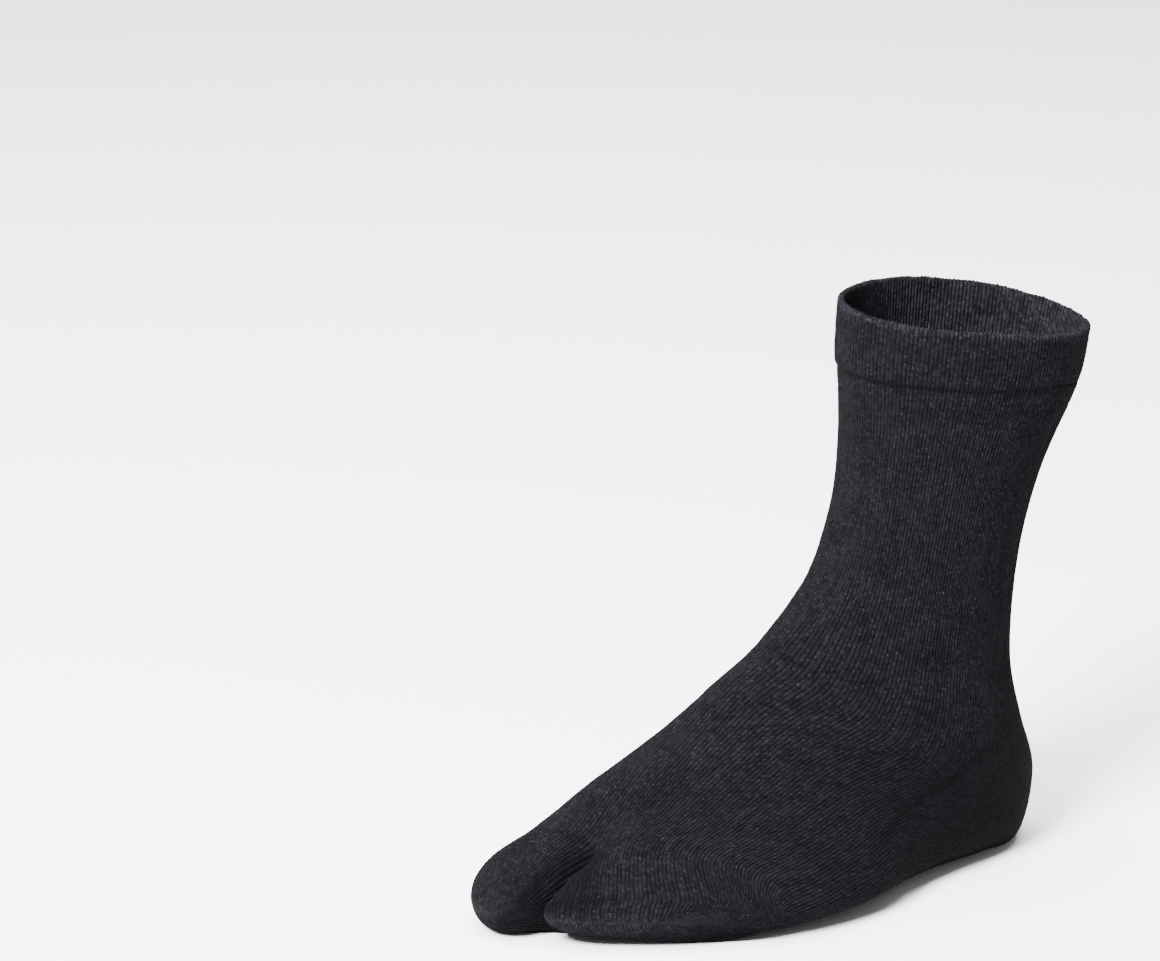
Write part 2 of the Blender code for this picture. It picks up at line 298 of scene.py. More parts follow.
FOUR_TOES_ROWS = (
    ToeRow(0.22, 0.25, 1.00, 1.00, 0.50, 0.000, 2.6, 0.012),
    ToeRow(0.46, 0.62, 1.00, 0.91, 0.55, 0.000, 3.0, 0.032),
    ToeRow(0.68, 0.92, 0.97, 0.80, 0.56, 0.015, 3.0, 0.055),
    ToeRow(0.86, 1.00, 0.91, 0.64, 0.55, 0.035, 2.8, 0.078),
    ToeRow(0.955, 1.00, 0.82, 0.43, 0.53, 0.060, 2.6, 0.090),
    ToeRow(0.99, 1.00, 0.72, 0.21, 0.51, 0.070, 2.4, 0.095),
    ToeRow(1.00, 1.00, 0.62, 0.02, 0.51, 0.070, 2.2, 0.095),
)
print(f"{len(LEG_ROWS)} leg rows, {len(FOOT_ROWS)} foot rows")

# %% [markdown]
# ## From tables to rings
#
# A section lies between its front or top point and its back or sole point. Its outline is an ellipse
# above its widest level and a squarer superellipse below it, so a foot can have a round instep and a
# flat sole. A Catmull-Rom curve through the rows of the table gives as many sections as are wanted.
# Points are spaced evenly round each ring, as stitches are.

# %% Work out the rings
OUTLINE_STEPS = 1440
Section = collections.namedtuple(
    "Section",
    "top_reach top_height back_reach back_height width crest widest square lag arch bank saddle",
)


def between(low, high, share):
    return low + (high - low) * share


def leg_section(row):
    """A level of the leg: an oval round a point of the leaning leg, turned up at its front."""
    height = between(INSTEP_HEIGHT + ANKLE_RISE, RIM_HEIGHT, row.rise)
    middle = HEEL_SETBACK - LEG_LEAN * row.lean
    half = between(ANKLE_DEPTH, RIM_DEPTH, row.flare) / 2
    ahead = half * math.cos(math.radians(row.tilt))
    above = half * math.sin(math.radians(row.tilt))
    width = between(ANKLE_WIDTH, RIM_WIDTH, row.spread)
    bank = math.tan(math.radians(RIM_BANK * row.bank))
    return Section(
        middle + ahead, height + above, middle - ahead, height - above,
        width, 0.0, row.widest, 2.0, 0.0, 0.0, bank, RIM_SADDLE * row.saddle,
    )


def foot_section(row):
    """A level of the heel or foot, from its table of shares."""
    return Section(
        row.top_reach * FOOT_LENGTH, row.top_height * INSTEP_HEIGHT,
        row.back_reach * FOOT_LENGTH, row.back_height * INSTEP_HEIGHT,
        between(HEEL_WIDTH, BALL_WIDTH, row.breadth), -row.crest * CLEFT_OFFSET,
        row.widest, row.square, math.tan(math.radians(BALL_LAG)) * row.lag,
        row.arch * ARCH_HEIGHT, 0.0, 0.0,
    )


def through(rows, places):
    """Rows read at fractional places, along a Catmull-Rom curve through them.

    Between rows b and c, with neighbours a and d, the curve at t is half of
    2b + (c - a)t + (2a - 5b + 4c - d)t^2 + (3b - a - 3c + d)t^3.
    """
    rows = np.asarray(rows, float)
    padded = np.concatenate([[2 * rows[0] - rows[1]], rows, [2 * rows[-1] - rows[-2]]])
    start = np.clip(np.floor(places).astype(int), 0, len(rows) - 2)
    t = (places - start).reshape((-1,) + (1,) * (rows.ndim - 1))
    a, b, c, d = (padded[start + step] for step in range(4))
    return (2 * b + (c - a) * t + (2 * a - 5 * b + 4 * c - d) * t**2 + (3 * b - a - 3 * c + d) * t**3) / 2


def beyond_cleft(across):
    """How far a point lies to the outer side of the cleft, levelling off on the inner side."""
    beyond = across + CLEFT_OFFSET
    return (np.hypot(beyond, LAG_BEND) + beyond - LAG_BEND) / 2


def rings_of(sections, columns, proud=0.0):
    """Rings of evenly spaced points, from each section's top point over its outer side.

    With angle w from 0 to a full turn, a point lies sin(w)^p of the half width across and
    cos(w)^p of the way up or down, where p is 2 over the outline's squareness.
    """
    s = Section(*np.asarray(sections, float).T[:, :, None])
    angle = np.linspace(0, 2 * math.pi, OUTLINE_STEPS + 1)
    sine, cosine = np.sin(angle), np.cos(angle)
    power = 2 / np.where(cosine >= 0, 2.0, s.square)
    drop = np.where(
        cosine >= 0,
        s.widest * (1 - np.abs(cosine) ** power),
        s.widest + (1 - s.widest) * np.abs(cosine) ** power,
    )
    side = s.width / 2 - np.sign(sine) * s.crest
    across = s.crest + side * np.sign(sine) * np.abs(sine) ** power
    reach = between(s.top_reach, s.back_reach, drop)
    height = between(s.top_height, s.back_height, drop)
    depth = np.hypot(s.top_reach - s.back_reach, s.top_height - s.back_height)
    across = across * (1 + 2 * proud / s.width)
    reach = reach + (reach - reach.mean(axis=1, keepdims=True)) * 2 * proud / depth
    reach = reach - s.lag * beyond_cleft(across)
    inner = np.clip(-across / (s.width / 2), 0, 1)
    height = height + s.saddle * (across / (s.width / 2)) ** 2
    height = height - s.bank * across + s.arch * inner * np.clip(drop * 2 - 1, 0, 1)

    dense = np.stack([across, reach, height], axis=2)
    steps = np.linalg.norm(np.diff(dense, axis=1), axis=2)
    length = np.pad(np.cumsum(steps, axis=1), ((0, 0), (1, 0)))
    even = np.arange(columns) / columns
    return np.array([
        np.stack([np.interp(even * run[-1], run, line) for line in ring.T], axis=1)
        for run, ring in zip(length, dense)
    ])


sections = [leg_section(row) for row in LEG_ROWS] + [foot_section(row) for row in FOOT_ROWS]
print(f"{len(sections)} sections from rim to cleft")

# %% [markdown]
# ## The knit's own grid
#
# The real sock is knitted round on a cylinder of needles, and each needle leaves one wale, a rib
# that runs from the cuff to the toes. This sock has 180. At the cleft 99 of them go on over the four
# toes and 81 over the big toe, and a web of 14 more closes the side of each pocket. A first, coarse
# grid holds one column for each wale.

# %% Lay out the wales and work out the tube
WALES = 180
OUTER_WALES = 99
WEB_WALES = 14
TOP_ROWS = 12
TOP_PLACES = 0.36
TOP_START = 0.94
TUBE_ROWS = 86
CLEFT_RUN = 4


def pressed_cleft(rings):
    """The rings with a groove over and under the cleft, which fades out within a few spreads of it."""
    cleft_reach = rings[-1, 0, 1]
    near = np.clip(1 - (cleft_reach - rings[:, 0, 1]) / (CLEFT_SPREAD * CLEFT_RUN), 0, 1) ** 2
    columns = rings.shape[1]
    column = np.arange(columns)
    pitch = np.linalg.norm(rings[-1] - np.roll(rings[-1], 1, axis=0), axis=1).mean()
    from_top = np.minimum(column, columns - column) * pitch
    from_sole = np.abs(column - OUTER_WALES) * pitch
    down = CLEFT_DEPTH * np.exp(-((from_top / CLEFT_SPREAD) ** 2))
    up = CLEFT_DEPTH / 2 * np.exp(-((from_sole / CLEFT_SPREAD) ** 2))
    pressed = rings.copy()
    pressed[:, :, 2] += near[:, None] * (up - down)
    return pressed


tube_places = np.concatenate([
    np.linspace(TOP_START, 1 + TOP_PLACES, TOP_ROWS, endpoint=False),
    np.linspace(1 + TOP_PLACES, len(sections) - 1, TUBE_ROWS - TOP_ROWS),
])
tube = pressed_cleft(rings_of(through(sections, tube_places), WALES, -DRAWN_IN))
print(f"tube: {tube.shape[0]} rows of {tube.shape[1]} wales")

# %% [markdown]
# ## The toe pockets
#
# Each pocket starts at its part of the tube's last ring and turns into an oval of its own, which
# closes at the tip. Its rings are read from a short table, and a Catmull-Rom curve along every wale
# carries the foot's own slope into the pocket. The four-toe pocket slants back to the little toe.

# %% Work out the toe pockets
POCKET_ROWS = 27
GATHER = 5


def oval(width, height, square):
    """A superellipse from its top over its outer side, and the length along it at each point."""
    angle = np.linspace(0, 2 * math.pi, OUTLINE_STEPS + 1)
    parts = np.stack([np.sin(angle), np.cos(angle)], axis=1)
    curve = np.sign(parts) * np.abs(parts) ** (2 / square) * (width / 2, height / 2)
    steps = np.linalg.norm(np.diff(curve, axis=0), axis=1)
    return curve, np.concatenate([[0], np.cumsum(steps)])


def toe_loop(row, width, height, facing, outer):
    """Points round a pocket's oval. The web takes the quarter that faces the cleft.

    A wale keeps its distance from the middle of the top or the sole, so that it runs straight
    over the tip. What the loop loses in length is taken from the wales at its two ends: a
    distance u, in quarters of this loop, shrinks to u / (1 + u^k (1 - r^-k))^(1/k), where r is
    a full-size quarter in the same measure.
    """
    _, full_length = oval(width, height, row.square)
    own, own_length = oval(width * row.wide, height * row.high, row.square)
    corner = full_length[len(full_length) // 8]
    quarter, own_quarter = full_length[-1] / 4, own_length[-1] / 4
    away = np.linspace(-corner, 2 * quarter + corner, outer + 1)
    towards = np.linspace(2 * quarter + corner, 4 * quarter - corner, WEB_WALES + 1)[1:-1]
    place = np.concatenate([away, towards]) + row.turn * 4 * quarter
    halves = np.round(place / (2 * quarter))
    past = place - 2 * quarter * halves
    reach = np.abs(past) / own_quarter
    held = reach / (1 + reach**GATHER * (1 - (own_quarter / quarter) ** GATHER)) ** (1 / GATHER)
    own_place = (2 * halves + np.sign(past) * held) * own_quarter % own_length[-1]
    across, level = (np.interp(own_place, own_length, part) * facing for part in own.T)
    middle = facing * (width / 2 - width * row.shift + CLEFT_WIDTH / 2) - CLEFT_OFFSET
    return middle + across, height * row.mid + level


def pocket_controls(start, rows, width, height, facing, outer, tip_reach, slant):
    """The rings that a pocket's table names, from its start at the cleft."""
    controls = [start]
    wales = np.arange(len(start))
    around = np.vstack([start, start[:1]])
    for row in rows:
        turned = (wales + row.turn * len(start)) % len(start)
        first = np.stack([np.interp(turned, np.arange(len(around)), part) for part in around.T], axis=1)
        across, level = toe_loop(row, width, height, facing, outer)
        across = between(first[:, 0], across, row.form)
        level = between(first[:, 2], level, row.form)
        back = np.hypot(across + CLEFT_OFFSET, TOE_BEND) - TOE_BEND
        tip = tip_reach - math.tan(math.radians(slant)) * back
        controls.append(np.stack([across, between(first[:, 1], tip, row.along), level], axis=1))
    return np.array(controls)


cleft_ring = tube[-1]
rise = np.linspace(0, 1, WEB_WALES + 1)[1:-1, None]
web = between(cleft_ring[OUTER_WALES], cleft_ring[0], rise)
web[:, 1] -= CLEFT_BOW * np.sin(math.pi * rise[:, 0])
four_start = np.vstack([cleft_ring[: OUTER_WALES + 1], web])
big_start = np.vstack([cleft_ring[OUTER_WALES:], cleft_ring[:1], web[::-1]])
four_controls = pocket_controls(
    four_start, FOUR_TOES_ROWS, FOUR_TOES_WIDTH, FOUR_TOES_HEIGHT, 1,
    OUTER_WALES, FOUR_TOES_REACH, TOE_SLANT,
)
big_controls = pocket_controls(
    big_start, BIG_TOE_ROWS, BIG_TOE_WIDTH, BIG_TOE_HEIGHT, -1,
    WALES - OUTER_WALES, FOOT_LENGTH, 0.0,
)


def pocket_of(controls):
    """The pocket's rings after its start, from a Catmull-Rom curve along each wale."""
    places = np.linspace(0, len(controls) - 1, POCKET_ROWS)[1:]
    return through(controls, places)


four_toes = pocket_of(four_controls)
big_toe = pocket_of(big_controls)
print(f"pockets: {four_toes.shape[0]} rows of {four_toes.shape[1]} and {big_toe.shape[1]} wales")

# %% [markdown]
# ## Joining and easing the coarse grid
#
# Tube, web and pockets share the points of the cleft. Where they meet, the raw formulas leave a
# faint crease, which a real knit would round off. Each point near the cleft is drawn towards the
# mean of its neighbours a few dozen times, less and less with its distance from the cleft.

# %% Join the grids and ease the cleft
EASE_ROUNDS = 60
EASE_NEAR = 0.004
EASE_FAR = 0.020
EASE_MOST = 0.5
SEAM_EASE = 3.5 / EASE_ROUNDS


def settled(points):
    """Points turned into the sock's frame, with the sole pressed flat where it meets the floor."""
    across, reach, height = np.moveaxis(points, -1, 0)
    height = np.maximum(height - SOLE_PRESS * np.exp(-np.maximum(height, 0) / SOLE_FADE), 0)
    return np.stack([across, HEEL_SETBACK - reach, height], axis=-1)


def quads(numbers):
    """Faces between neighbouring rows and columns of a grid of point numbers."""
    return np.stack(
        [numbers[:-1, :-1], numbers[1:, :-1], numbers[1:, 1:], numbers[:-1, 1:]], axis=-1
    ).reshape(-1, 4)


def closed(numbers):
    """A grid of point numbers with its first column again at its end."""
    return np.concatenate([numbers, numbers[:, :1]], axis=1)


def body_numbers(wales, outer, web_wales):
    """Point numbers of the tube, the web and both pockets, which share the cleft's points."""
    tube_grid = np.arange(TUBE_ROWS * wales).reshape(TUBE_ROWS, wales)
    web_line = tube_grid.size + np.arange(web_wales - 1)
    used = tube_grid.size + web_line.size
    grids = [tube_grid]
    starts = (
        np.concatenate([tube_grid[-1, : outer + 1], web_line]),
        np.concatenate([tube_grid[-1, outer:], tube_grid[-1, :1], web_line[::-1]]),
    )
    for start in starts:
        rows = used + np.arange((POCKET_ROWS - 1) * start.size).reshape(-1, start.size)
        used += rows.size
        grids.append(np.vstack([start, rows]))
    return grids


def eased(points, faces, weight, rounds):
    """Points drawn towards the mean of their neighbours, each by its own weight."""
    pairs = np.concatenate([faces[:, [i, (i + 1) % 4]] for i in range(4)])
    pairs = np.unique(np.sort(pairs, axis=1), axis=0)
    one, other = np.concatenate([pairs, pairs[:, ::-1]]).T
    count = np.bincount(one, minlength=len(points))[:, None]
    for _ in range(rounds):
        total = np.stack(
            [np.bincount(one, points[other, axis], len(points)) for axis in range(3)], axis=1
        )
        points = points + weight[:, None] * (total / count - points)
    return points


tube_grid, four_grid, big_grid = body_numbers(WALES, OUTER_WALES, WEB_WALES)
coarse = settled(np.vstack([part.reshape(-1, 3) for part in (tube, web, four_toes, big_toe)]))
coarse_faces = np.vstack([quads(closed(grid)) for grid in (tube_grid, four_grid, big_grid)])
web_points = coarse[four_grid[0, OUTER_WALES:]]
from_web = np.linalg.norm(coarse[:, None] - web_points[None, ::3], axis=2).min(axis=1)
ease = EASE_MOST * np.clip((EASE_FAR - from_web) / (EASE_FAR - EASE_NEAR), 0, 1) ** 2
seam_rows = np.concatenate([tube_grid[-3:].ravel(), four_grid[1:3].ravel(), big_grid[1:3].ravel()])
ease[seam_rows] = np.maximum(ease[seam_rows], SEAM_EASE)
tip_rows = np.concatenate([four_grid[-1], big_grid[-1]])
ease[tip_rows] = 0
coarse = eased(coarse, coarse_faces, ease, EASE_ROUNDS)
coarse[:, 2] = np.maximum(coarse[:, 2], 0)
print(f"coarse grid: {len(coarse)} points, {len(coarse_faces)} faces")

# %% [markdown]
# ## Ribs in the mesh
#
# Four columns of points to a wale are enough for a rounded rib with a narrow groove beside it. Every
# ring of the coarse grid is read at quarter steps, along a closed Catmull-Rom curve, and then each
# point moves in or out along the surface's normal. The stitches within a rib are finer than a mesh
# can carry, and come later, as bump. Where wales crowd together, beside the tips, and along the
# linked edge of each pocket, the ribs fade.

# %% Refine the grid and raise the ribs
PER_WALE = 4
RIB_RISE = 0.00019
RIB_POWER = 2.2
FULL_PITCH = 0.0011
NO_PITCH = 0.0005
LINKED_ROWS = 4


def quarter_steps(ring_points):
    """Each closed ring read at quarter steps between its points."""
    a, b, c, d = (np.roll(ring_points, shift, axis=1)[:, :, None] for shift in (1, 0, -1, -2))
    t = (np.arange(PER_WALE) / PER_WALE)[None, None, :, None]
    curve = 2 * b + (c - a) * t + (2 * a - 5 * b + 4 * c - d) * t**2 + (3 * b - a - 3 * c + d) * t**3
    return (curve / 2).reshape(len(ring_points), -1, 3)


def normals_of(points, faces):
    """Unit normals at the points: the sum of their faces' normals, each as large as its face."""
    corner = points[faces]
    flat = np.cross(corner[:, 2] - corner[:, 0], corner[:, 3] - corner[:, 1])
    total = np.stack([
        np.bincount(faces.ravel(), np.repeat(flat[:, axis], 4), len(points)) for axis in range(3)
    ], axis=1)
    return total / np.maximum(np.linalg.norm(total, axis=1, keepdims=True), 1e-12)


def rib(wale):
    """How far a rib stands out: 1 at its middle and -1 in the groove, which is at whole numbers."""
    away = np.abs(wale % 1 - 0.5) * 2
    return 1 - 2 * away**RIB_POWER


def plainness(points, grid):
    """1 where wales lie at full pitch and 0 where they crowd, for the points of a grid."""
    step = np.linalg.norm(np.roll(points[grid], -1, axis=1) - points[grid], axis=2)
    pitch = sum(np.roll(step, shift, axis=1) for shift in range(-PER_WALE // 2, PER_WALE // 2))
    return np.clip((pitch - NO_PITCH) / (FULL_PITCH - NO_PITCH), 0, 1)


fine_tube, fine_four, fine_big = body_numbers(
    WALES * PER_WALE, OUTER_WALES * PER_WALE, WEB_WALES * PER_WALE
)
fine = np.zeros((fine_big.max() + 1, 3))
ribs = np.zeros(len(fine))
wale_of = np.zeros(len(fine))
for coarse_grid, fine_grid in ((four_grid, fine_four), (big_grid, fine_big), (tube_grid, fine_tube)):
    first = 1 if fine_grid is not fine_tube else 0
    fine[fine_grid[first:]] = quarter_steps(coarse[coarse_grid[first:]])
    wale_of[fine_grid] = np.arange(fine_grid.shape[1]) / PER_WALE
web_line = fine_four[0, OUTER_WALES * PER_WALE + 1 :]
fine[web_line] = quarter_steps(coarse[four_grid[:1]])[0, OUTER_WALES * PER_WALE + 1 :]
for fine_grid in (fine_four, fine_big, fine_tube):
    clear = plainness(fine, fine_grid)
    if fine_grid is not fine_tube:
        clear[-LINKED_ROWS:] *= np.linspace(1, 0, LINKED_ROWS)[:, None]
    ribs[fine_grid] = clear
fine_faces = np.vstack([quads(closed(grid)) for grid in (fine_tube, fine_four, fine_big)])
fine_normals = normals_of(fine, fine_faces)
print(f"fine surface: {len(fine)} points, {len(fine_faces)} faces")

# %% [markdown]
# ## Creases, hollows and painted light and shade
#
# Worn cloth isn't smooth. It folds a little where the foot bends up to the leg, it sinks behind the
# four toes, and a line runs down each side of the heel, where its pocket was turned. Light and shade
# are painted into the yarn's colour: painted shade round the heel, along the creases, beside the
# cleft and in the groove under the band, and painted light over the toes and near each pocket's tip.
# Both come as numbers for each point: how far it sinks, and a painted light and shade that the
# yarn's colour is multiplied by. No two ribs are quite alike, so each stretch of a rib gets a height
# of its own. A faint line runs round the leg a little below the band. Its place and the groove's are
# distances down from the tube's first row, which the band covers. Rows near a pocket's tip are
# counted back from the tip.

# %% Press in the creases and paint in light and shade
Crease = collections.namedtuple("Crease", "name path flat depth reach shade")
CREASES = (
    Crease("instep fold", ((0.002, -0.076, 0.104), (0.012, -0.072, 0.098), (0.029, -0.043, 0.089)),
           False, 0.00080, 0.0018, 0.55),
    Crease("hollow behind the toes",
           ((0.000, -0.133, 0.051), (0.024, -0.101, 0.055), (0.042, -0.086, 0.034),
            (0.048, -0.071, 0.025)),
           False, 0.00070, 0.0070, 0.22),
    Crease("dent behind the big toe", ((-0.030, -0.150, 0.032), (-0.014, -0.150, 0.040)),
           False, 0.00100, 0.0080, 0.10),
    Crease("heel line", ((0.0, 0.013, 0.053), (0.0, -0.023, 0.040), (0.0, -0.058, 0.026)),
           True, 0.00045, 0.0022, 0.25),
)
SEAM_LINE = 0.0100
SEAM_LINE_DEPTH = 0.00018
SEAM_LINE_REACH = 0.0009
SEAM_LINE_SHADE = 0.25
# The heel's, the cleft's and the groove's amounts below are painted shade; the toes' and the tips' are
# painted light.
HEEL_ALONG = (-0.085, 0.015)
HEEL_UP = (0.035, 0.080)
HEEL_PAINTED_SHADE = -0.60
HEEL_RIBS = -0.70
CLEFT_PAINTED_SHADE = -0.75
CLEFT_SHADE_WALES = 9
CLEFT_SHADE_START = (-2, 3)
CLEFT_SHADE_END = (9, 2)
TOES_ALONG = (0.13, 0.18)
TOES_PAINTED_LIGHT = 0.18
TIP_PAINTED_LIGHT = 0.35
TIP_LIT_ROWS = (9, 3)
GROOVE_PAINTED_SHADE = -0.70
GROOVE_BACK_SHARE = 0.35
GROOVE_DOWN = (0.0015, 0.0035)
UNEVEN_RIBS = (0.55, 1.45)
RANDOM_SEED = 11


def smooth(value, low, high):
    """0 up to low, 1 from high on, and t t (3 - 2 t) between, with t the share of the way.

    Low may be the larger of the two: the rise then runs backwards.
    """
    t = np.clip((value - low) / (high - low), 0, 1)
    return t * t * (3 - 2 * t)


def distance_to(points, path, flat):
    """Distance from each point to a line of several legs. Flat leaves out the way across the foot."""
    axes = [1, 2] if flat else [0, 1, 2]
    spots = points[:, axes]
    nearest = np.full(len(points), np.inf)
    for start, end in zip(np.array(path)[:-1, axes], np.array(path)[1:, axes]):
        share = np.clip((spots - start) @ (end - start) / ((end - start) @ (end - start)), 0, 1)
        on_leg = start + share[:, None] * (end - start)
        nearest = np.minimum(nearest, np.linalg.norm(spots - on_leg, axis=1))
    return nearest


def uneven(rows, rng):
    """A height for each stretch of each rib, of two rows of the grid, as a factor."""
    steps = rng.uniform(*UNEVEN_RIBS, (rows // 2 + 1, WALES))
    return np.repeat(np.repeat(steps, 2, axis=0)[:rows], PER_WALE, axis=1)


rng = np.random.default_rng(RANDOM_SEED)
sunk = np.zeros(len(fine))
heel = smooth(fine[:, 1], *HEEL_ALONG) * (1 - smooth(fine[:, 2], *HEEL_UP))
ribs *= 1 + HEEL_RIBS * heel
# Painted shade darkens the heel's colour.
painted_shading = 1 + HEEL_PAINTED_SHADE * heel
# Painted light brightens the toes' colour.
painted_shading += TOES_PAINTED_LIGHT * smooth(-fine[:, 1], *TOES_ALONG)
# Each crease sinks, and its shade is painted shade that darkens the colour along it.
for crease in CREASES:
    near = np.exp(-(distance_to(fine, crease.path, crease.flat) / crease.reach) ** 2)
    sunk += crease.depth * near
    painted_shading -= crease.shade * near
down = np.cumsum(np.linalg.norm(np.diff(fine[fine_tube], axis=0), axis=2), axis=0)
near = np.exp(-((down - SEAM_LINE) / SEAM_LINE_REACH) ** 2)
sunk[fine_tube[1:]] += SEAM_LINE_DEPTH * near
painted_shading[fine_tube[1:]] -= SEAM_LINE_SHADE * near
around = np.arange(WALES * PER_WALE) / (WALES * PER_WALE) * 2 * math.pi
# Painted shade in the groove under the band's foot, weaker at the back, where the band lies flush.
groove_painted_shade = GROOVE_PAINTED_SHADE * between(GROOVE_BACK_SHARE, 1, (1 + np.cos(around)) / 2)
painted_shading[fine_tube[1:]] += groove_painted_shade * (1 - smooth(down, *GROOVE_DOWN))
for fine_grid, outer in ((fine_four, OUTER_WALES), (fine_big, WALES - OUTER_WALES)):
    rows, columns = fine_grid.shape
    from_tip = rows - np.arange(rows)
    # Painted light brightens the last rows of each pocket, towards its tip.
    painted_shading[fine_grid] += TIP_PAINTED_LIGHT * smooth(from_tip, *TIP_LIT_ROWS)[:, None]
    # Painted shade darkens the wales beside the cleft, along each pocket short of its start and its tip.
    wale = np.arange(columns) / PER_WALE
    from_web = np.where(wale < outer, np.minimum(wale, outer - wale), 0)
    ends = np.minimum(
        smooth(np.arange(rows), *CLEFT_SHADE_START), 1 - smooth(from_tip, *CLEFT_SHADE_END)
    )
    painted_shading[fine_grid] += CLEFT_PAINTED_SHADE * ends[:, None] * (1 - smooth(from_web, 0, CLEFT_SHADE_WALES))
height = RIB_RISE * ribs * rib(wale_of)
height[fine_tube] *= uneven(len(fine_tube), rng)
ribbed = fine + fine_normals * (height - sunk)[:, None]
ribbed[:, 2] = np.maximum(ribbed[:, 2], 0)
print("creases:", ", ".join(crease.name for crease in CREASES))
print(f"deepest: {sunk.max() * 1000:.2f} mm")

# %% [markdown]
# ## Turning grids into a mesh
#
# A patch is a grid of point numbers. Two UV maps go with it. One counts wales and courses, so that
# the material can draw each stitch where it lies in the cloth. The other lays every patch out in its
# own rectangle of the unit square, which is what a baked texture needs. A bridge joins a row of four
# points to a wale to a row of one.

# %% Write the mesh builder
COURSE_PITCH = 0.00115
STITCH_MAP = "Stitches"
BAKE_MAP = "OFBake"
RIB_LAYER = "Ribs"
PAINTED_SHADING_LAYER = "PaintedShading"

Patch = collections.namedtuple("Patch", "numbers wale course rect inward")


def courses_along(points, numbers, start=0.0):
    """How many courses lie above each point of a grid: the length along its wale over the pitch."""
    steps = np.linalg.norm(np.diff(points[numbers], axis=0), axis=2)
    return start + np.pad(np.cumsum(steps, axis=0), ((1, 0), (0, 0))) / COURSE_PITCH


def bridge(fine_row, coarse_row):
    """Faces of seven corners between a row of four points to a wale and a row of one."""
    picks = PER_WALE * np.arange(len(coarse_row) - 1)[:, None] + np.arange(PER_WALE + 1)
    return np.concatenate([fine_row[picks], coarse_row[1:, None], coarse_row[:-1, None]], axis=1)


def laid_out(patch):
    """A patch's place in the unit square, for each of its points."""
    rows, columns = patch.numbers.shape
    u0, v0, u1, v1 = patch.rect
    across = np.broadcast_to(np.linspace(u0, u1, columns), (rows, columns))
    down = np.broadcast_to(np.linspace(v1, v0, rows)[:, None], (rows, columns))
    return across, down


def knitted_mesh(name, points, clear, painted_shading, patches, bridges=()):
    """A mesh object of patches that share points, with both UV maps, the ribs' strength and the painted
    light and shade.

    Points that no patch or bridge uses are left out.
    """
    faces, maps = [], ([], [])
    for patch in patches:
        order = [3, 2, 1, 0] if patch.inward else [0, 1, 2, 3]
        faces.append(quads(patch.numbers)[:, order])
        for layer, (u, v) in zip(maps, ((patch.wale, patch.course), laid_out(patch))):
            layer.append(np.stack([quads(u)[:, order], quads(v)[:, order]], axis=-1))
    for numbers, *corner_maps in bridges:
        faces.append(numbers)
        for layer, corner_map in zip(maps, corner_maps):
            layer.append(corner_map)
    sizes = np.concatenate([np.full(len(part), part.shape[1]) for part in faces])
    used, corners = np.unique(np.concatenate([part.ravel() for part in faces]), return_inverse=True)
    mesh = bpy.data.meshes.new(name)
    mesh.vertices.add(len(used))
    mesh.vertices.foreach_set("co", points[used].astype(np.float32).ravel())
    mesh.loops.add(len(corners))
    mesh.loops.foreach_set("vertex_index", corners.astype(np.int32))
    mesh.polygons.add(len(sizes))
    mesh.polygons.foreach_set("loop_start", (np.cumsum(sizes) - sizes).astype(np.int32))
    for title, layer in zip((STITCH_MAP, BAKE_MAP), maps):
        values = np.concatenate([part.reshape(-1, 2) for part in layer])
        mesh.uv_layers.new(name=title).uv.foreach_set("vector", values.astype(np.float32).ravel())
    for title, values in ((RIB_LAYER, clear), (PAINTED_SHADING_LAYER, painted_shading)):
        layer = mesh.attributes.new(title, "FLOAT", "POINT")
        layer.data.foreach_set("value", values[used].astype(np.float32))
    mesh.update(calc_edges=True)
    mesh.validate()
    mesh.shade_smooth()
    piece = bpy.data.objects.new(name, mesh)
    bpy.context.scene.collection.objects.link(piece)
    triangles = int((sizes - 2).sum())
    print(f"{name}: {len(used)} points, {triangles} triangles")
    return piece


# %% [markdown]
# ## The sock's body
#
# The body is a closed shell: the ribbed outside, and a lining that lies a wall's thickness further
# in, with one column to a wale because nobody sees it closely. Each pocket ends in a flat loop that
# is joined from side to side, as a real toe is linked.

# %% Build the body
LINING_STEP = 2
LINING_POCKET_ROWS = 19
# Painted light that brightens the lining and the inside of the band.
INSIDE_PAINTED_LIGHT = 2.5
OUTSIDE_RECTS = (
    (0.0, 0.42, 1.0, 1.0), (0.0, 0.22, 0.54, 0.41), (0.0, 0.205, 0.54, 0.215),
    (0.55, 0.22, 1.0, 0.41), (0.55, 0.205, 1.0, 0.215),
)
LINING_RECTS = (
    (0.0, 0.07, 1.0, 0.19), (0.0, 0.02, 0.54, 0.06), (0.0, 0.005, 0.54, 0.015),
    (0.55, 0.02, 1.0, 0.06), (0.55, 0.005, 1.0, 0.015),
)
RIM_RECT = (0.0, 0.193, 1.0, 0.202)
RECT_GAP = 0.002
LINING_TUCK = 0.0008


